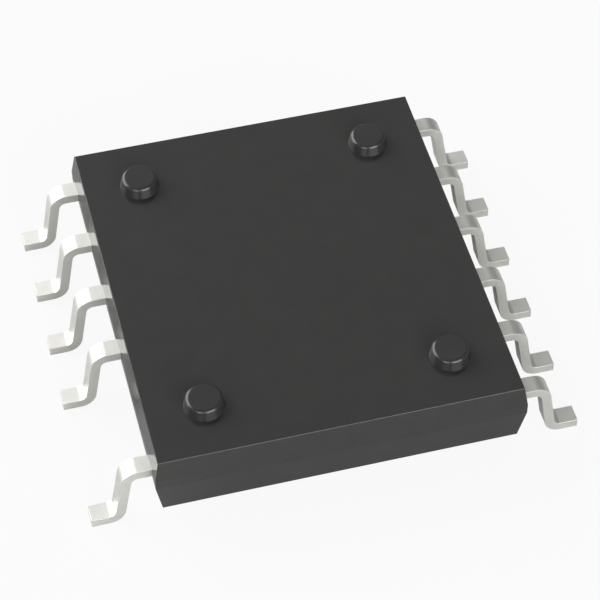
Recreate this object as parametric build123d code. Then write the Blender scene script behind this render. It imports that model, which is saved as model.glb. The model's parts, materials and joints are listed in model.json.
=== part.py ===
"""Moulded power integrated circuit with gull-wing leads on two sides, one lead position left empty.

Lengths are millimetres, angles degrees. The origin is the middle of the footprint on the board.
X runs across the two lead rows, Y along the rows towards lead 1, Z up from the board.
Leads 1 to 6 run down the -X side and position 5 is empty. Leads 7 to 12 are on the +X side.
"""
import os
from math import atan2, degrees, radians, tan

from build123d import *

# Moulded body: a lower and an upper half with drafted walls, and an upright band between them
body_width = 8.92
standoff = 0.56
lower_half_height = 0.92
band_height = 0.28
upper_half_height = 0.585
row_wall_draft = 9.5
end_wall_draft = 6.4
edge_radius = 0.04

# Round bumps moulded on the top face, one near each corner
bump_diameter = 0.99
bump_height = 0.30
bump_draft = 12.5
bump_rim_chamfer = 0.06
bump_from_row_wall = 1.50
bump_from_end_wall = 1.455

# Lead rows
lead_positions = 6
empty_position = 5
lead_pitch = 1.778
end_margin = 0.605
lead_width = 0.45
stock = 0.24
bend_radius = 0.18
shoulder_length = 0.325
leg_lean = 9.5
foot_length = 0.42

# Bond posts inside the body, on the row with separate leads
neck_length = 0.35
post_length = 1.15
post_gap = 0.35
drain_post_reach = 1.10

# Bus bar, ramps and paddle, one piece with the other row of leads
bus_neck_length = 0.42
bus_width = 0.50
ramp_width = 0.80
ramp_angle = 45.0
ramp_bend_radius = 0.10
paddle_drop = 0.59
paddle_clearance = 0.55
paddle_end_margin = 0.50

# Chip and the layer that holds it to the paddle
die_width = 2.60
die_length = 3.40
die_thickness = 0.25
attach_thickness = 0.03
attach_spread = 0.10

# Bond wires
wire_diameter = 0.05
ball_diameter = 0.13
ball_height = 0.035
pad_from_die_edge = 0.20
pad_from_die_end = 0.35
loop_over_post = 0.26
loop_over_die = 0.30
stitch_from_post_end = 0.25
stitch_from_die = 0.75
drain_wire_count = 3
drain_stitch_spacing = 0.40
source_wire_count = 4

# Heights and places that follow
band_low = standoff + lower_half_height
band_high = band_low + band_height
top_face = band_high + upper_half_height
lead_plane = (band_low + band_high) / 2
lead_top = lead_plane + stock / 2
half_width = body_width / 2
row_length = (lead_positions - 1) * lead_pitch
half_length = row_length / 2 + end_margin
neck_end = half_width - neck_length
post_end = neck_end - post_length
post_reach = (lead_pitch - lead_width - post_gap) / 2
bend_line = bend_radius + stock / 2
paddle_plane = lead_plane - paddle_drop
paddle_top = paddle_plane + stock / 2
bus_outer = half_width - bus_neck_length
bus_inner = bus_outer - bus_width
ramp_run = paddle_drop / tan(radians(ramp_angle))
ramp_bend_room = (ramp_bend_radius + stock / 2) * tan(radians(ramp_angle / 2))
paddle_right = bus_inner - ramp_run - 2 * ramp_bend_room
paddle_left = -post_end + paddle_clearance
paddle_length = row_length - 2 * lead_pitch + ramp_width + 2 * paddle_end_margin
paddle_middle = (paddle_left + paddle_right) / 2
die_bottom = paddle_top + attach_thickness
die_top = die_bottom + die_thickness
die_left = paddle_middle - die_width / 2
die_right = paddle_middle + die_width / 2


def lead_y(position):
    """Place of a lead along the row, counted from 1 at the +Y end."""
    return row_length / 2 - (position - 1) * lead_pitch


def bent_strip(points, radius, width, y):
    """Flat stock bent in the XZ plane along its centre line, given as (x, z) points."""
    path = FilletPolyline(*[(x, y, z) for x, z in points], radius=radius)
    section = Plane(origin=path @ 0, x_dir=(0, 1, 0), z_dir=path % 0) * Rectangle(width, stock)
    return sweep(section, path=path)


def plate(x_low, x_high, y_low, y_high, plane):
    """Flat plate of stock thickness centred on a height."""
    size = (x_high - x_low, y_high - y_low, stock)
    return Pos((x_low + x_high) / 2, (y_low + y_high) / 2, plane) * Box(*size)


def gull_wing(side, y, inner_x):
    """One formed lead: flat shoulder, leaning leg and flat foot, starting inside the body."""
    foot_plane = stock / 2
    bend_turn = radians(90 - leg_lean)
    bend_room = bend_line * tan(bend_turn / 2)
    shoulder_corner = half_width + shoulder_length + bend_room
    foot_corner = shoulder_corner + (lead_plane - foot_plane) * tan(radians(leg_lean))
    tip = foot_corner + bend_room + foot_length
    points = [(inner_x, lead_plane), (shoulder_corner, lead_plane), (foot_corner, foot_plane), (tip, foot_plane)]
    return bent_strip([(side * x, z) for x, z in points], bend_line, lead_width, y)


def separate_lead(position):
    """A lead of the -X row with its bond post, which widens towards the middle of the row."""
    y = lead_y(position)
    inward = -1 if y > 0 else 1
    reach = drain_post_reach if position == lead_positions else post_reach
    outer_edge = y - inward * lead_width / 2
    inner_edge = y + inward * (lead_width / 2 + reach)
    post = plate(-neck_end, -post_end, min(outer_edge, inner_edge), max(outer_edge, inner_edge), lead_plane)
    return gull_wing(-1, y, neck_end) + post


def lead_frame():
    """Leads 7 to 12 in one piece with the bus bar, the ramps and the paddle that carries the chip."""
    bar_end = row_length / 2 + lead_width / 2
    frame = plate(bus_inner, bus_outer, -bar_end, bar_end, lead_plane)
    for position in range(1, lead_positions + 1):
        frame += gull_wing(1, lead_y(position), bus_outer)
    ramp = [
        (bus_inner + stock, lead_plane),
        (bus_inner - ramp_bend_room, lead_plane),
        (paddle_right + ramp_bend_room, paddle_plane),
        (paddle_right - stock, paddle_plane),
    ]
    for position in range(2, lead_positions):
        frame += bent_strip(ramp, ramp_bend_radius + stock / 2, ramp_width, lead_y(position))
    frame += plate(paddle_left, paddle_right, -paddle_length / 2, paddle_length / 2, paddle_plane)
    return frame


def die():
    """Silicon chip."""
    return Pos(paddle_middle, 0, die_bottom + die_thickness / 2) * Box(die_width, die_length, die_thickness)


def die_attach():
    """Thin layer under the chip, spread a little past its edges and drawn in at the top."""
    low = Pos(0, 0, paddle_top) * Rectangle(die_width + 2 * attach_spread, die_length + 2 * attach_spread)
    high = Pos(0, 0, die_bottom) * Rectangle(die_width, die_length)
    return Pos(paddle_middle, 0, 0) * loft([low, high], ruled=True)


def bond_wire(start, end, loop_top):
    """Wire from a ball on the chip, straight up, over one kink and down to a stitch flush with its seat."""
    run = Vector(end) - Vector(start)
    heading = degrees(atan2(run.Y, run.X))
    span = (run.X ** 2 + run.Y ** 2) ** 0.5
    past_end = 1 + wire_diameter / span
    drop = (loop_top - end[2]) * past_end
    path = Polyline((0, 0, start[2]), (0, 0, loop_top), (span * past_end, 0, loop_top - drop))
    wire = sweep(Pos(0, 0, start[2]) * Circle(wire_diameter / 2), path=path, transition=Transition.RIGHT)
    wire -= Pos(span, 0, end[2] - wire_diameter) * Box(span, 2 * wire_diameter, 2 * wire_diameter)
    wire += Pos(0, 0, start[2] + ball_height / 2) * Cylinder(ball_diameter / 2, ball_height)
    return Pos(start[0], start[1], 0) * Rot(0, 0, heading) * wire


def pad_rows(count):
    """Places along the chip for a row of evenly spaced bond pads, counted from its +Y end."""
    first = die_length / 2 - pad_from_die_end
    return [first - 2 * first * index / (count - 1) for index in range(count)]


def post_wires():
    """Wires from the chip to the posts: one to each lead before the empty place, several to the last lead."""
    seats = {}
    for position in range(1, empty_position):
        inward = -1 if lead_y(position) > 0 else 1
        seats[f"signal_wire_{position}"] = lead_y(position) + inward * post_reach / 2
    drain_middle = lead_y(lead_positions) + drain_post_reach / 2
    for index in range(drain_wire_count):
        from_middle = (drain_wire_count - 1) / 2 - index
        seats[f"drain_wire_{index + 1}"] = drain_middle + from_middle * drain_stitch_spacing
    wires = {}
    for (name, seat_y), pad_y in zip(seats.items(), pad_rows(len(seats))):
        start = (die_left + pad_from_die_edge, pad_y, die_top)
        end = (-post_end - stitch_from_post_end, seat_y, lead_top)
        wires[name] = bond_wire(start, end, lead_top + loop_over_post)
    return wires


def source_wires():
    """Short wires from the chip down to the paddle."""
    wires = {}
    for index, pad_y in enumerate(pad_rows(source_wire_count), 1):
        start = (die_right - pad_from_die_edge, pad_y, die_top)
        end = (die_right + stitch_from_die, pad_y, paddle_top)
        wires[f"source_wire_{index}"] = bond_wire(start, end, die_top + loop_over_die)
    return wires


def prism(half_size, draft, plane, depth):
    """The body as seen from one side, drafted halves with an upright band between, as a long prism."""
    low = half_size - lower_half_height * tan(radians(draft))
    high = half_size - upper_half_height * tan(radians(draft))
    right = [(low, standoff), (half_size, band_low), (half_size, band_high), (high, top_face)]
    left = [(-across, up) for across, up in reversed(right)]
    return extrude(plane.offset(-depth) * make_face(Polyline(*right, *left, close=True)), 2 * depth)


def bump():
    """Drafted round boss with a broken rim."""
    root = bump_diameter / 2
    rim = root - bump_height * tan(radians(bump_draft))
    boss = loft([Circle(root), Pos(0, 0, bump_height) * Circle(rim)], ruled=True)
    return chamfer(boss.edges().sort_by(Axis.Z)[-1], bump_rim_chamfer)


def moulded_body(inner_pieces):
    """Epoxy body with its bumps, moulded round everything inside it."""
    seen_from_end = prism(half_width, row_wall_draft, Plane.XZ, half_length)
    seen_from_row = prism(half_length, end_wall_draft, Plane.YZ, half_width)
    body = seen_from_end & seen_from_row
    levels = body.edges().group_by(Axis.Z)
    body = fillet(levels[0] + levels[-1], edge_radius)
    bump_x = half_width - bump_from_row_wall
    bump_y = half_length - bump_from_end_wall
    for place in GridLocations(2 * bump_x, 2 * bump_y, 2, 2):
        body += Pos(0, 0, top_face) * place * bump()
    for piece in inner_pieces:
        body -= piece
    return body


def build():
    """Every piece by name."""
    pieces = {"lead_frame": lead_frame()}
    for position in range(1, lead_positions + 1):
        if position != empty_position:
            pieces[f"lead_{position}"] = separate_lead(position)
    pieces["die"] = die()
    pieces["die_attach"] = die_attach()
    pieces.update(post_wires())
    pieces.update(source_wires())
    pieces["mold_body"] = moulded_body(list(pieces.values()))
    return pieces


os.makedirs("parts", exist_ok=True)
for name, piece in build().items():
    export_step(piece, f"parts/{name}.step")
    print(name, round(piece.volume, 5), len(piece.solids()))
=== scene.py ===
# %% [markdown]
# # A power circuit in a flat moulded package
# This object is an integrated circuit about 12 mm across. A dark moulded block holds a chip on a
# metal paddle, and bright tinned leads come out of its two long sides and bend down to the board.
# The solid model of the same part is loaded first and fixes every size and place. This script
# gives each piece its fine edges, its finish and its light.

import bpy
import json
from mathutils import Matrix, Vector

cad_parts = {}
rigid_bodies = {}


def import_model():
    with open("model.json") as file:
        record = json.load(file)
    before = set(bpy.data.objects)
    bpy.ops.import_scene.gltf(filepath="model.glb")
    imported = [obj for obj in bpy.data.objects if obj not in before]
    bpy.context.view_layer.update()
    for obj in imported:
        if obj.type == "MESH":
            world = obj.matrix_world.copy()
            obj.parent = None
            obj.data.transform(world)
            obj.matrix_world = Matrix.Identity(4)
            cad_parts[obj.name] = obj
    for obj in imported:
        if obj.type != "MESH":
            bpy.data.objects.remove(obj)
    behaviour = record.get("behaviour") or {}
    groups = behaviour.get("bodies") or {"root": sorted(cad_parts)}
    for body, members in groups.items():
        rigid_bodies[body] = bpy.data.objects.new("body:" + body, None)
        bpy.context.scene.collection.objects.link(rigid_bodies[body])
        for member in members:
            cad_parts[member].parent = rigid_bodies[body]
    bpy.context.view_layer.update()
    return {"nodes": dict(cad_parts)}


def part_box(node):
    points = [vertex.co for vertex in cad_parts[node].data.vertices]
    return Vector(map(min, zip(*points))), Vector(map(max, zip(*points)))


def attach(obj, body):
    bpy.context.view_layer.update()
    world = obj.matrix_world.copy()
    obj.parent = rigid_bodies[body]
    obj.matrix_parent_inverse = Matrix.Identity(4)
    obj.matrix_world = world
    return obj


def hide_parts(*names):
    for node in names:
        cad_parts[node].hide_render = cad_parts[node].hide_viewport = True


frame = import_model()

# %% [markdown]
# ## Units and a few helpers
# Blender works in metres here and the part is drawn in millimetres, so lengths are written as
# millimetres times MM. Three small helpers shape every piece: extrude one face, turn one face
# round an axis as a press brake turns a strip, and round edges. An extrusion is given a face with
# its own edges and corners, because otherwise the old face stays behind as a wall inside the piece.

# %% Extrude, bend and round
import json
from math import cos, degrees, radians, sin, tan

import bmesh
import bpy
from mathutils import Matrix, Vector

MM = 0.001


def extrude_face(bm, face, shift):
    """Extrudes one face by a shift and returns the face at the new end."""
    made = bmesh.ops.extrude_face_region(bm, geom=[face, *face.edges, *face.verts])["geom"]
    corners = [part for part in made if isinstance(part, bmesh.types.BMVert)]
    bmesh.ops.translate(bm, vec=shift, verts=corners)
    return next(part for part in made if isinstance(part, bmesh.types.BMFace))


def turn_face(bm, face, centre, angle, steps):
    """Sweeps one face round an axis along Y and returns the face at the new end."""
    swept = bmesh.ops.spin(
        bm, geom=[face, *face.edges, *face.verts], cent=centre, axis=(0, 1, 0), angle=angle, steps=steps
    )
    return next(part for part in swept["geom_last"] if isinstance(part, bmesh.types.BMFace))


def round_edges(bm, edges, offset, segments):
    """Bevels edges, with the size given as the distance from the old edge."""
    return bmesh.ops.bevel(
        bm, geom=list(edges), offset=offset, offset_type="OFFSET", segments=segments, profile=0.5,
        affect="EDGES", material=-1, clamp_overlap=True,
    )


# %% [markdown]
# ## Even shading
# Smooth shading makes a bend or a rounded edge flow, but it also leans the light on the flat
# beside it, and a flat that mirrors a lamp shows even a small lean. A Weighted Normal modifier
# only lessens that. So each flat keeps its own direction at all its corners, and a narrow strip
# takes that direction where it meets the flat. Faces that meet at a steep angle stay sharp. A flat
# is told from a strip by its width: area over perimeter is half the width of a long strip.

# %% Normals for flats and strips
sharp_angle = radians(50)
strip_half_width = 0.03 * MM


def is_wide(mesh, face):
    """Says whether a face is a flat of its own, and not a strip of a bend or a rounded edge."""
    corners = [mesh.vertices[vertex].co for vertex in face.vertices]
    perimeter = sum((corners[index] - corners[index - 1]).length for index in range(len(corners)))
    return face.area > strip_half_width * perimeter


def even_normals(mesh):
    """Shades flats evenly, and lets the strips beside them run smoothly up to them."""
    wide = [is_wide(mesh, face) for face in mesh.polygons]
    around = [[] for vertex in mesh.vertices]
    for face in mesh.polygons:
        for vertex in face.vertices:
            around[vertex].append(face)
    normals = []
    for face in mesh.polygons:
        for vertex in face.vertices:
            near = [
                other for other in around[vertex] if face.normal.angle(other.normal, 0.0) < sharp_angle
            ]
            flats = [face] if wide[face.index] else [other for other in near if wide[other.index]]
            mean = sum((other.area * other.normal for other in flats or near), Vector())
            normals.append(mean.normalized())
    mesh.normals_split_custom_set(normals)


# %% [markdown]
# ## Hand a piece over
# A finished mesh becomes an object at the origin, with its place in the mesh itself, so that the
# patterns of its finish lie still. The object is then hung on the frame's root body, and the solid it
# stands for is hidden.

# %% From a mesh to a finished piece
merge_distance = 0.00001 * MM


def mesh_object(bm, name):
    """Makes an object of a bmesh, with outward faces and even shading."""
    bmesh.ops.remove_doubles(bm, verts=bm.verts, dist=merge_distance)
    bmesh.ops.recalc_face_normals(bm, faces=bm.faces)
    mesh = bpy.data.meshes.new(name)
    bm.to_mesh(mesh)
    bm.free()
    mesh.shade_smooth()
    even_normals(mesh)
    piece = bpy.data.objects.new(name, mesh)
    bpy.context.scene.collection.objects.link(piece)
    return piece


def finish_piece(piece, material, node):
    """Dresses a piece, puts it on the frame in place of its solid, and says how big it came out."""
    piece.data.materials.clear()
    piece.data.materials.append(material)
    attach(piece, "root")
    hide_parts(node)
    size = [round(length / MM, 3) for length in piece.dimensions]
    print(piece.name, "stands for", node, "and measures", size, "mm,", len(piece.data.polygons), "faces")


# %% [markdown]
# ## Finishes
# Each finish is a short function that sets the shader's plain numbers and then adds what varies
# over the surface. Every pattern reads Object coordinates, which are metres, so a Mapping node
# scales them up first and the pattern sizes below read as "so many per millimetre".

# %% A shader and its coordinates
def start_material(name, color, metallic, roughness, ior):
    """A material with one main shader and its constant numbers set on that shader."""
    material = bpy.data.materials.new(name)
    material.use_nodes = True
    shader = material.node_tree.nodes["Principled BSDF"]
    shader.inputs["Base Color"].default_value = (*color, 1)
    shader.inputs["Metallic"].default_value = metallic
    shader.inputs["Roughness"].default_value = roughness
    shader.inputs["IOR"].default_value = ior
    return material, shader


def millimetre_coordinates(tree, stretch=(1, 1, 1)):
    """Object coordinates in millimetres, stretched where a pattern runs in streaks."""
    place = tree.nodes.new("ShaderNodeTexCoord")
    scale = tree.nodes.new("ShaderNodeMapping")
    scale.inputs["Scale"].default_value = [share / MM for share in stretch]
    tree.links.new(place.outputs["Object"], scale.inputs["Vector"])
    return scale.outputs["Vector"]


# %% [markdown]
# ### Patterns
# All that varies on these surfaces is soft and random, so one noise texture serves everywhere, at
# different sizes. Its values keep mostly to the middle, so what it drives is run from low to high
# over that middle part. It can drive a colour, a roughness or a fine relief.

# %% Noise and what it drives
pattern_low = 0.3
pattern_high = 0.7


def noise(tree, vector, per_mm, detail=2.0):
    """Soft random pattern with about so many spots per millimetre."""
    texture = tree.nodes.new("ShaderNodeTexNoise")
    texture.inputs["Scale"].default_value = per_mm
    texture.inputs["Detail"].default_value = detail
    tree.links.new(vector, texture.inputs["Vector"])
    return texture.outputs["Fac"]


def shift_color(tree, factor, low, high, target):
    """Runs a colour from low to high over the middle part of a pattern."""
    ramp = tree.nodes.new("ShaderNodeValToRGB")
    ramp.color_ramp.elements[0].position = pattern_low
    ramp.color_ramp.elements[1].position = pattern_high
    ramp.color_ramp.elements[0].color = (*low, 1)
    ramp.color_ramp.elements[1].color = (*high, 1)
    tree.links.new(factor, ramp.inputs["Fac"])
    tree.links.new(ramp.outputs["Color"], target)


def shift_value(tree, factor, low, high, target):
    """Runs a number from low to high over the middle part of a pattern."""
    band = tree.nodes.new("ShaderNodeMapRange")
    band.inputs["From Min"].default_value = pattern_low
    band.inputs["From Max"].default_value = pattern_high
    band.inputs["To Min"].default_value = low
    band.inputs["To Max"].default_value = high
    tree.links.new(factor, band.inputs["Value"])
    tree.links.new(band.outputs["Result"], target)


def fine_relief(tree, factor, depth, shader):
    """Tilts the surface by a pattern of a given depth."""
    bump = tree.nodes.new("ShaderNodeBump")
    bump.inputs["Strength"].default_value = 1
    bump.inputs["Distance"].default_value = depth
    tree.links.new(factor, bump.inputs["Height"])
    tree.links.new(bump.outputs["Normal"], shader.inputs["Normal"])


# %% [markdown]
# ### Moulding compound
# The body is epoxy filled with very fine silica and coloured with carbon black. Out of a polished
# mould it is almost black, with a close, smooth skin that mirrors its surroundings at a low angle.
# A dark base with a plain dielectric gloss does that by itself, with no coat on top. The silica
# shows only as a faint mottle, and the mould's finish as a grain a few hundredths of a millimetre
# wide.

# %% Moulding compound
def moulding_compound():
    material, shader = start_material(
        "moulding_compound", color=(0.026, 0.026, 0.0255), metallic=0, roughness=0.2, ior=1.5
    )
    tree = material.node_tree
    place = millimetre_coordinates(tree)
    mottle = noise(tree, place, per_mm=1.6, detail=6.0)
    dark, pale = (0.0245, 0.0245, 0.0243), (0.0275, 0.0275, 0.0266)
    shift_color(tree, mottle, dark, pale, shader.inputs["Base Color"])
    gloss = noise(tree, place, per_mm=5.0, detail=4.0)
    shift_value(tree, gloss, 0.17, 0.23, shader.inputs["Roughness"])
    grain = noise(tree, place, per_mm=28.0, detail=3.0)
    fine_relief(tree, grain, 0.0006 * MM, shader)
    return material


# %% [markdown]
# ### Tin plate
# The leads are copper alloy strip with a matte tin plate. Tin is a pale, slightly warm metal, and
# its fine crystals blur what it mirrors. The strip was rolled before it was cut, so a faint
# streaking runs along it under the plate. A noise that is stretched along X and Z and fine across
# Y, the width of each lead, gives that streaking on the flats and through the bends alike, where
# a pattern laid along X alone would break up on the legs.

# %% Tin plate
def tin_plate():
    material, shader = start_material(
        "tin_plate", color=(0.79, 0.787, 0.748), metallic=1, roughness=0.5, ior=1.5
    )
    tree = material.node_tree
    place = millimetre_coordinates(tree)
    along_strip = millimetre_coordinates(tree, stretch=(0.25, 2.5, 0.25))
    patches = noise(tree, place, per_mm=3.0, detail=5.0)
    dull, bright = (0.77, 0.767, 0.726), (0.81, 0.807, 0.77)
    shift_color(tree, patches, dull, bright, shader.inputs["Base Color"])
    crystals = noise(tree, place, per_mm=9.0, detail=4.0)
    shift_value(tree, crystals, 0.46, 0.54, shader.inputs["Roughness"])
    streaks = noise(tree, along_strip, per_mm=12.0, detail=3.0)
    fine_relief(tree, streaks, 0.0008 * MM, shader)
    return material


# %% [markdown]
# ### What is inside
# The chip, its glue and its wires are sealed in, but each still has a finish of its own, so that
# the part can be shown cut open. Silicon is dark, smooth and bluish. The glue is a resin full of
# silver flakes. The wires are gold.

# %% Finishes of the sealed pieces
def silicon():
    material, shader = start_material(
        "sawn_silicon", color=(0.075, 0.08, 0.095), metallic=0.6, roughness=0.14, ior=3.4
    )
    tree = material.node_tree
    place = millimetre_coordinates(tree)
    clouds = noise(tree, place, per_mm=2.0)
    shift_color(tree, clouds, (0.07, 0.075, 0.09), (0.08, 0.085, 0.105), shader.inputs["Base Color"])
    saw_marks = noise(tree, place, per_mm=14.0)
    shift_value(tree, saw_marks, 0.11, 0.18, shader.inputs["Roughness"])
    return material


def silver_glue():
    material, shader = start_material(
        "silver_glue", color=(0.55, 0.54, 0.52), metallic=0.8, roughness=0.5, ior=1.5
    )
    tree = material.node_tree
    flakes = noise(tree, millimetre_coordinates(tree), per_mm=40.0, detail=4.0)
    shift_color(tree, flakes, (0.45, 0.44, 0.42), (0.66, 0.65, 0.63), shader.inputs["Base Color"])
    fine_relief(tree, flakes, 0.002 * MM, shader)
    return material


def gold():
    material, shader = start_material(
        "gold_wire", color=(0.9, 0.63, 0.27), metallic=1, roughness=0.2, ior=1.5
    )
    tree = material.node_tree
    place = millimetre_coordinates(tree)
    patches = noise(tree, place, per_mm=6.0)
    shift_color(tree, patches, (0.87, 0.6, 0.25), (0.93, 0.66, 0.29), shader.inputs["Base Color"])
    drawing_marks = noise(tree, place, per_mm=20.0)
    shift_value(tree, drawing_marks, 0.16, 0.26, shader.inputs["Roughness"])
    return material


compound = moulding_compound()
tin = tin_plate()
sealed_finishes = {"die_attach": silver_glue(), "die": silicon(), "wire": gold()}
print("finishes:", sorted(material.name for material in bpy.data.materials))

# %% [markdown]
# ## The moulded body
# Two halves of a mould close on the lead strip, and the compound fills them. Each half's walls
# lean, so that it lets go of the body, and between them is a narrow upright band where the leads
# come out. A block with its faces pushed about would give the same outline, but it is clearer to
# make the shape as the mould does. One rectangle at the bottom of the band is extruded up to the
# top of the band, and from there each half is extruded away and pulled in by its draft.

# %% Two drafted halves and a band
body_low, body_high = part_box("mold_body")
lower_half_height = 0.92 * MM
band_height = 0.28 * MM
upper_half_height = 0.585 * MM
row_wall_draft = radians(9.5)
end_wall_draft = radians(6.4)
rim_offset = 0.02 * MM
rim_segments = 4

half_width = (body_high.x - body_low.x) / 2
half_length = (body_high.y - body_low.y) / 2
band_low = body_low.z + lower_half_height
band_high = band_low + band_height
top_face = band_high + upper_half_height


def drafted_half(bm, face, height, direction):
    """Extrudes one half of the body away from the band and pulls it in by the draft of each wall."""
    far = extrude_face(bm, face, (0, 0, direction * height))
    across = 1 - height * tan(row_wall_draft) / half_width
    along = 1 - height * tan(end_wall_draft) / half_length
    bmesh.ops.scale(bm, vec=(across, along, 1), verts=far.verts)
    return far


body = bmesh.new()
bmesh.ops.create_grid(body, x_segments=1, y_segments=1, size=1)
bmesh.ops.scale(body, vec=(half_width, half_length, 1), verts=body.verts)
bmesh.ops.translate(body, vec=(0, 0, band_low), verts=body.verts)
body.faces.ensure_lookup_table()
parting_face = body.faces[0]
top = drafted_half(body, extrude_face(body, parting_face, (0, 0, band_height)), upper_half_height, 1)
underside = drafted_half(body, parting_face, lower_half_height, -1)
round_edges(body, [*top.edges, *underside.edges], rim_offset, rim_segments)
print("body shell:", len(body.faces), "faces, top face at", round(top_face / MM, 3), "mm")

# %% [markdown]
# ## Four bumps on the top face
# The bumps are round bosses, moulded in one with the body, with leaning sides and a rounded rim. A
# cone could be joined to the body with a Boolean, but a disc keeps the mesh clean. An inset gives
# it a narrow flange, its middle is extruded up and drawn in, and a bevel then rounds the rim. The
# flange's outer circle stays open, to be joined to the top face.

# %% Raise a bump from a disc
bump_radius = 0.495 * MM
bump_height = 0.30 * MM
bump_draft = radians(12.5)
bump_rim_offset = 0.076 * MM
bump_rim_segments = 8
bump_flange = 0.04 * MM
bump_from_row_wall = 1.50 * MM
bump_from_end_wall = 1.455 * MM
bump_sides = 96


def raise_bump(bm, x, y):
    """Adds one bump, open only at the outer circle of its flange."""
    place = Matrix.Translation((x, y, top_face))
    disc = bmesh.ops.create_circle(
        bm, cap_ends=True, radius=bump_radius + bump_flange, segments=bump_sides, matrix=place
    )
    middle = disc["verts"][0].link_faces[0]
    bmesh.ops.inset_region(
        bm, faces=[middle], thickness=bump_flange, use_boundary=True, use_even_offset=True
    )
    raised = extrude_face(bm, middle, (0, 0, bump_height))
    drawn_in = 1 - bump_height * tan(bump_draft) / bump_radius
    bmesh.ops.scale(bm, vec=(drawn_in, drawn_in, 1), space=place.inverted(), verts=raised.verts)
    round_edges(bm, raised.edges, bump_rim_offset, bump_rim_segments)


bump_x = half_width - bump_from_row_wall
bump_y = half_length - bump_from_end_wall
for x in (-bump_x, bump_x):
    for y in (-bump_y, bump_y):
        raise_bump(body, x, y)
circles = [edge for edge in body.edges if edge.is_boundary]
print("bumps:", len(circles) // bump_sides, "at", round(bump_x / MM, 3), "by", round(bump_y / MM, 3), "mm")

# %% [markdown]
# ## Close the top face round the bumps
# The flat top is one face, and now it needs four round holes. Its face is taken out, its border
# stays, and a fill between that border and the four circles makes one closed skin.

# %% Fill between the border and the circles
facing_up = [face for face in body.faces if face.calc_center_median().z > band_high]
flat_top = max(facing_up, key=lambda face: face.calc_area())
border = list(flat_top.edges)
bmesh.ops.delete(body, geom=[flat_top], context="FACES_ONLY")
bmesh.ops.triangle_fill(body, use_beauty=True, edges=[*border, *circles], normal=(0, 0, 1))
open_edges = sum(not edge.is_manifold for edge in body.edges)
print("body:", len(body.faces), "faces,", open_edges, "open edges")
body_piece = mesh_object(body, "moulded_body")
finish_piece(body_piece, compound, "mold_body")

# %% [markdown]
# ## A formed lead
# A lead is flat strip, 0.45 by 0.24 mm, bent twice. The flat shoulder leaves the body, the leg
# leans out a little, and the foot lies flat on the board. What has to be worked out first is how
# long the leg is between its two bends, because the bends take up part of its height.

# %% Strip sizes
lead_positions = 6
empty_position = 5
lead_pitch = 1.778 * MM
lead_width = 0.45 * MM
stock = 0.24 * MM
bend_radius = 0.18 * MM
shoulder_length = 0.325 * MM
leg_lean = radians(9.5)
foot_length = 0.42 * MM

lead_plane = (band_low + band_high) / 2
bend_line = bend_radius + stock / 2
bend_turn = radians(90) - leg_lean
bend_room = bend_line * tan(bend_turn / 2)
leg_length = (lead_plane - stock / 2) / cos(leg_lean) - 2 * bend_room
row_length = (lead_positions - 1) * lead_pitch


def lead_y(position):
    """Place of a lead along its row, counted from 1 at the far end."""
    return row_length / 2 - (position - 1) * lead_pitch


print("lead: leg", round(leg_length / MM, 3), "mm, bends", round(degrees(bend_turn), 1), "degrees each")

# %% [markdown]
# ## Lay the strip out
# A curve with a flat profile could follow the same path, but it twists and thins at tight bends.
# Here one rectangle stands for the strip's section. It is extruded along each straight and turned
# round each bend, just as the forming tool lays the strip out, so the bends have their true radius
# and the strip keeps its thickness all the way. The tool and the plate leave no edge quite sharp,
# so each edge is then broken by a hair, which also lets it catch the light.

# %% One lead from section to foot
bend_steps = 14
edge_softness = 0.007 * MM
edge_segments = 2
edge_angle = radians(60)


def strip_section(bm, x, y, z, width):
    """One rectangle across the strip, facing along X."""
    size = Matrix.Diagonal((stock / 2, width / 2, 1, 1))
    place = Matrix.Translation((x, y, z)) @ Matrix.Rotation(radians(90), 4, "Y") @ size
    made = bmesh.ops.create_grid(bm, x_segments=1, y_segments=1, size=1, matrix=place)
    return made["verts"][0].link_faces[0]


def form_lead(bm, side, y, inner_x):
    """Lays out one lead from inside the body to its tip and returns the section it starts from."""
    start = strip_section(bm, side * inner_x, y, lead_plane, lead_width)
    shoulder_end = half_width + shoulder_length
    end = extrude_face(bm, start, (side * (shoulder_end - inner_x), 0, 0))
    upper_centre = (side * shoulder_end, y, lead_plane - bend_line)
    end = turn_face(bm, end, upper_centre, side * bend_turn, bend_steps)
    end = extrude_face(bm, end, (side * leg_length * sin(leg_lean), 0, -leg_length * cos(leg_lean)))
    outward = Vector((side * cos(leg_lean), 0, sin(leg_lean)))
    lower_centre = end.calc_center_median() + outward * bend_line
    end = turn_face(bm, end, lower_centre, -side * bend_turn, bend_steps)
    extrude_face(bm, end, (side * foot_length, 0, 0))
    return start


def soften(bm):
    """Breaks every sharp outer corner of a strip by a hair."""
    bmesh.ops.recalc_face_normals(bm, faces=bm.faces)
    sharp = [edge for edge in bm.edges if edge.is_manifold and edge.calc_face_angle() > edge_angle]
    round_edges(bm, sharp, edge_softness, edge_segments)


# %% [markdown]
# ## The separate leads
# Leads 1 to 4 and lead 6 each end inside the body in a wide post, where the bond wires land. The
# post is the strip carried on, with its inner side pulled out sideways, so it stays one sheet with
# the lead. Position 5 is left empty, which keeps a high voltage on lead 6 away from its neighbours.

# %% Leads with bond posts
neck_length = 0.35 * MM
post_length = 1.15 * MM
post_gap = 0.35 * MM
drain_post_reach = 1.10 * MM
neck_end = half_width - neck_length
post_reach = (lead_pitch - lead_width - post_gap) / 2


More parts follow.
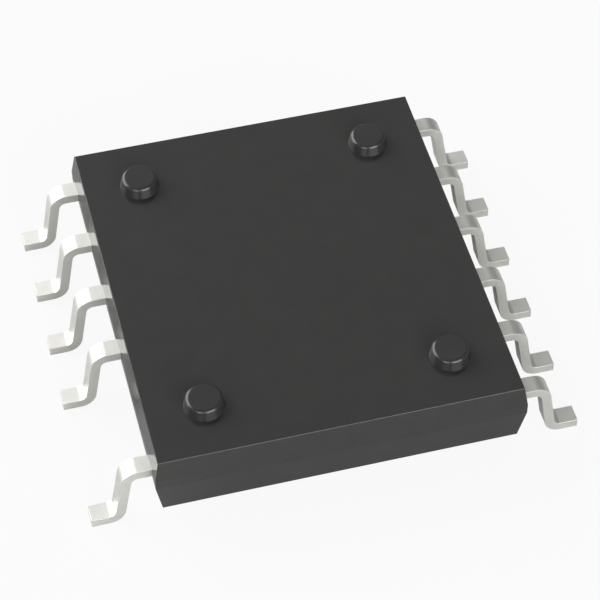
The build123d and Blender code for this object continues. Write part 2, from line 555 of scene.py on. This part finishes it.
def separate_lead(position):
    """One lead of the row with the empty place."""
    bm = bmesh.new()
    y = lead_y(position)
    start = form_lead(bm, -1, y, neck_end)
    extrude_face(bm, start, (post_length, 0, 0))
    inward = -1 if y > 0 else 1
    reach = drain_post_reach if position == lead_positions else post_reach
    beside_post = Vector((post_length / 2 - neck_end, y + inward * lead_width / 2, lead_plane))
    side_face = min(bm.faces, key=lambda face: (face.calc_center_median() - beside_post).length)
    extrude_face(bm, side_face, (0, inward * reach, 0))
    soften(bm)
    piece = mesh_object(bm, f"tinned_lead_{position}")
    finish_piece(piece, tin, f"lead_{position}")


for position in range(1, lead_positions + 1):
    if position != empty_position:
        separate_lead(position)

# %% [markdown]
# ## The lead frame
# Leads 7 to 12 are one sheet of metal with a bar that joins them, four ramps down and the paddle
# that carries the chip. Its sizes come first. A ramp's length is found as a leg's was: the whole
# slope, less what the bends take up at its two ends.

# %% Sheet sizes
bus_neck_length = 0.42 * MM
bus_width = 0.50 * MM
ramp_width = 0.80 * MM
ramp_angle = radians(45)
ramp_bend_line = 0.10 * MM + stock / 2
paddle_drop = 0.59 * MM
paddle_clearance = 0.55 * MM
paddle_end_margin = 0.50 * MM

bus_outer = half_width - bus_neck_length
bus_inner = bus_outer - bus_width
ramp_room = ramp_bend_line * tan(ramp_angle / 2)
ramp_length = paddle_drop / sin(ramp_angle) - 2 * ramp_room
paddle_right = bus_inner - paddle_drop / tan(ramp_angle) - 2 * ramp_room
paddle_left = paddle_clearance - (neck_end - post_length)
paddle_length = row_length - 2 * lead_pitch + ramp_width + 2 * paddle_end_margin
paddle_plane = lead_plane - paddle_drop
print("paddle:", round((paddle_right - paddle_left) / MM, 3), "by", round(paddle_length / MM, 3), "mm")

# %% [markdown]
# ## The parts of the sheet
# The leads are formed as before, and the bar and the paddle are plain plates of the same
# thickness. Each ramp is a strip too, so it is laid out with the same two steps, extrude and turn.

# %% Plates, ramps and leads
ramp_bend_steps = 6


def plate(x_low, x_high, length, z):
    """A flat plate of stock thickness, centred along Y."""
    bm = bmesh.new()
    section = strip_section(bm, x_low, 0, z, length)
    extrude_face(bm, section, (x_high - x_low, 0, 0))
    return bm


def ramp(y):
    """A strip that leaves the bar, bends down 45 degrees and bends flat again at the paddle."""
    bm = bmesh.new()
    start = strip_section(bm, bus_inner + stock, y, lead_plane, ramp_width)
    end = extrude_face(bm, start, (-stock, 0, 0))
    upper_centre = (bus_inner, y, lead_plane - ramp_bend_line)
    end = turn_face(bm, end, upper_centre, -ramp_angle, ramp_bend_steps)
    end = extrude_face(bm, end, (-ramp_length * cos(ramp_angle), 0, -ramp_length * sin(ramp_angle)))
    upward = Vector((-sin(ramp_angle), 0, cos(ramp_angle)))
    lower_centre = end.calc_center_median() + upward * ramp_bend_line
    end = turn_face(bm, end, lower_centre, ramp_angle, ramp_bend_steps)
    extrude_face(bm, end, (-stock, 0, 0))
    return bm


def row_lead(position):
    """One lead of the full row, running into the bar."""
    bm = bmesh.new()
    form_lead(bm, 1, lead_y(position), bus_outer - bus_width / 2)
    soften(bm)
    return bm


# %% [markdown]
# ## Join the sheet
# The parts run into each other, and left like that they would leave walls inside the metal. A
# Boolean unites them into one closed sheet. It works here because all the parts are closed and cut
# through each other plainly.

# %% One sheet of metal
def join_sheet(parts, name):
    """Unites closed parts into one mesh with a Boolean and returns the new object."""
    others = bpy.data.collections.new("parts of the sheet")
    first, *rest = [mesh_object(bm, f"{name}_{index}") for index, bm in enumerate(parts)]
    for part in rest:
        bpy.context.scene.collection.objects.unlink(part)
        others.objects.link(part)
    union = first.modifiers.new("one sheet", "BOOLEAN")
    union.operation = "UNION"
    union.operand_type = "COLLECTION"
    union.collection = others
    union.solver = "EXACT"
    graph = bpy.context.evaluated_depsgraph_get()
    joined = bpy.data.meshes.new_from_object(first.evaluated_get(graph))
    for part in [first, *rest]:
        bpy.data.objects.remove(part)
    bpy.data.collections.remove(others)
    bm = bmesh.new()
    bm.from_mesh(joined)
    return mesh_object(bm, name)


sheet = [plate(bus_inner, bus_outer, row_length + lead_width, lead_plane)]
sheet += [row_lead(position) for position in range(1, lead_positions + 1)]
sheet += [ramp(lead_y(position)) for position in range(2, lead_positions)]
sheet += [plate(paddle_left, paddle_right, paddle_length, paddle_plane)]
frame_piece = join_sheet(sheet, "tinned_lead_frame")
finish_piece(frame_piece, tin, "lead_frame")

# %% [markdown]
# ## Dress the sealed pieces
# The chip, the glue and the wires keep the solids' own meshes, which already have their true
# shape. Each only gets its finish. The pieces replaced above are hidden by now, so whatever still
# shows is one of these.

# %% Finishes for the chip, the glue and the wires
for name, node in frame["nodes"].items():
    if node.hide_render:
        continue
    finish = sealed_finishes["wire" if "wire" in name else name]
    node.data.materials.clear()
    node.data.materials.append(finish)
    print(name, "is finished in", finish.name)

# %% [markdown]
# ## The floor
# The photograph has a pure white ground with hardly a shadow. The floor is a plain pale plane, and
# what the camera sees of it is mostly an even white of its own. The rest is real shading, which
# keeps a faint shadow under the part. The metal mirrors mostly the real shading, with a little of
# that white, because in the photograph the sides of the leads are a soft grey over a white ground.

# %% Pale floor
floor_half_size = 500 * MM
floor_grey = (0.52, 0.52, 0.52, 1)
camera_white = 0.92
mirror_white = 0.1


def pale_floor():
    """Mixes real shading with an even white, by how much of it the camera or a mirror sees."""
    material = bpy.data.materials.new("pale_floor")
    material.use_nodes = True
    tree = material.node_tree
    tree.nodes.clear()
    output = tree.nodes.new("ShaderNodeOutputMaterial")
    shaded = tree.nodes.new("ShaderNodeBsdfDiffuse")
    shaded.inputs["Color"].default_value = floor_grey
    even = tree.nodes.new("ShaderNodeEmission")
    even.inputs["Strength"].default_value = 1
    path = tree.nodes.new("ShaderNodeLightPath")
    mirrored = tree.nodes.new("ShaderNodeMath")
    mirrored.operation = "MAXIMUM"
    tree.links.new(path.outputs["Is Glossy Ray"], mirrored.inputs[0])
    tree.links.new(path.outputs["Is Transmission Ray"], mirrored.inputs[1])
    in_mirror = tree.nodes.new("ShaderNodeMath")
    in_mirror.operation = "MULTIPLY"
    in_mirror.inputs[1].default_value = mirror_white
    tree.links.new(mirrored.outputs[0], in_mirror.inputs[0])
    share = tree.nodes.new("ShaderNodeMath")
    share.operation = "MULTIPLY_ADD"
    share.inputs[1].default_value = camera_white
    tree.links.new(path.outputs["Is Camera Ray"], share.inputs[0])
    tree.links.new(in_mirror.outputs[0], share.inputs[2])
    mix = tree.nodes.new("ShaderNodeMixShader")
    tree.links.new(share.outputs[0], mix.inputs[0])
    tree.links.new(shaded.outputs[0], mix.inputs[1])
    tree.links.new(even.outputs[0], mix.inputs[2])
    tree.links.new(mix.outputs[0], output.inputs["Surface"])
    return material


plane = bmesh.new()
bmesh.ops.create_grid(plane, x_segments=1, y_segments=1, size=floor_half_size)
floor = mesh_object(plane, "floor")
floor.data.materials.append(pale_floor())
print("floor:", round(2 * floor_half_size / MM), "mm square")

# %% [markdown]
# ## Light
# Directions are given as the frame gives views: azimuth 0 is in front of the part, 90 at its right
# side, and elevation is above the floor. Each highlight in the photograph tells where a lamp was.
# A broad key light behind the left side whitens the bends of the left leads and draws the bright
# crescent on each bump's rim, and the body keeps it off the right leads. Two low lights in front
# show as the two short dashes on each rim, and light every face that looks forward. A dim light
# high at the back is what the flat top mirrors.

# %% Soft boxes
light_distance = 300 * MM


def direction(azimuth, elevation):
    """Unit vector from the part towards an azimuth and elevation in degrees."""
    turn, rise = radians(azimuth), radians(elevation)
    return Vector((sin(turn) * cos(rise), -cos(turn) * cos(rise), sin(rise)))


def soft_box(name, azimuth, elevation, wide, high, brightness):
    """A rectangular lamp that faces the part, its size given as degrees seen from the part."""
    towards = direction(azimuth, elevation)
    lamp = bpy.data.lights.new(name, "AREA")
    lamp.shape = "RECTANGLE"
    lamp.size = 2 * light_distance * tan(radians(wide) / 2)
    lamp.size_y = 2 * light_distance * tan(radians(high) / 2)
    lamp.energy = 4 * lamp.size * lamp.size_y * brightness
    holder = bpy.data.objects.new(name, lamp)
    holder.location = towards * light_distance
    holder.rotation_mode = "QUATERNION"
    holder.rotation_quaternion = towards.to_track_quat("Z", "Y")
    bpy.context.scene.collection.objects.link(holder)
    print(name, "at", azimuth, "and", elevation, "degrees, brightness", brightness)


soft_box("key_light", azimuth=-134, elevation=30, wide=66, high=46, brightness=3.4)
soft_box("left_front_light", azimuth=-34, elevation=13, wide=28, high=24, brightness=4.0)
soft_box("right_front_light", azimuth=20, elevation=18, wide=46, high=42, brightness=4.6)
soft_box("back_light", azimuth=172, elevation=52, wide=50, high=46, brightness=0.2)

# %% [markdown]
# ## The room
# The world is the room's own soft light. It is a calm grey, a little lighter low down, where a
# pale floor would run up into a backdrop. A gradient over the height of the view direction is
# enough for that, and needs no picture of a room. The camera itself sees the room white, as it sees
# the floor, so that a low view has a white ground too.

# %% World gradient
horizon_level = 0.2
overhead_level = 0.16
fade_from = sin(radians(10))
fade_to = sin(radians(45))

world = bpy.data.worlds.new("studio")
bpy.context.scene.world = world
world.use_nodes = True
room = world.node_tree
sky = room.nodes["Background"]
sky.inputs["Color"].default_value = (1, 1, 1, 1)
look = room.nodes.new("ShaderNodeTexCoord")
parts_of_look = room.nodes.new("ShaderNodeSeparateXYZ")
fade = room.nodes.new("ShaderNodeMapRange")
fade.interpolation_type = "SMOOTHSTEP"
fade.inputs["From Min"].default_value = fade_from
fade.inputs["From Max"].default_value = fade_to
fade.inputs["To Min"].default_value = horizon_level
fade.inputs["To Max"].default_value = overhead_level
room.links.new(look.outputs["Generated"], parts_of_look.inputs["Vector"])
room.links.new(parts_of_look.outputs["Z"], fade.inputs["Value"])
path_in_room = room.nodes.new("ShaderNodeLightPath")
seen_level = room.nodes.new("ShaderNodeMath")
seen_level.operation = "MAXIMUM"
room.links.new(fade.outputs["Result"], seen_level.inputs[0])
room.links.new(path_in_room.outputs["Is Camera Ray"], seen_level.inputs[1])
room.links.new(seen_level.outputs[0], sky.inputs["Strength"])
bpy.context.scene.view_settings.view_transform = "Standard"
print("room:", horizon_level, "low down,", overhead_level, "overhead")

# %% [markdown]
# ## The camera
# The photograph looks down on the part's front left from about 50 degrees, through a long lens.
# The values were fitted to the corners of the body and the leads.

# %% Camera at the photograph's angle
picture_size = 600
focal_length_px = 2294.6
view_azimuth = -14.648
view_elevation = 49.557
view_distance = 57.116 * MM
view_target = Vector((0.3203, 0.2458, 0.7514)) * MM
view_roll = radians(0.160)

camera_data = bpy.data.cameras.new("camera")
camera_data.sensor_width = 36
camera_data.lens = focal_length_px * camera_data.sensor_width / picture_size
camera_data.clip_start = 1 * MM
camera_data.clip_end = 2000 * MM
camera = bpy.data.objects.new("camera", camera_data)
bpy.context.scene.collection.objects.link(camera)
bpy.context.scene.camera = camera
away = direction(view_azimuth, view_elevation)
camera.location = view_target + away * view_distance
level_view = (-away).to_track_quat("-Z", "Y").to_matrix()
camera.rotation_euler = (level_view @ Matrix.Rotation(view_roll, 3, "Z")).to_euler()
place = [round(value / MM, 2) for value in camera.location]
print("camera at", place, "mm, lens", round(camera_data.lens, 2))
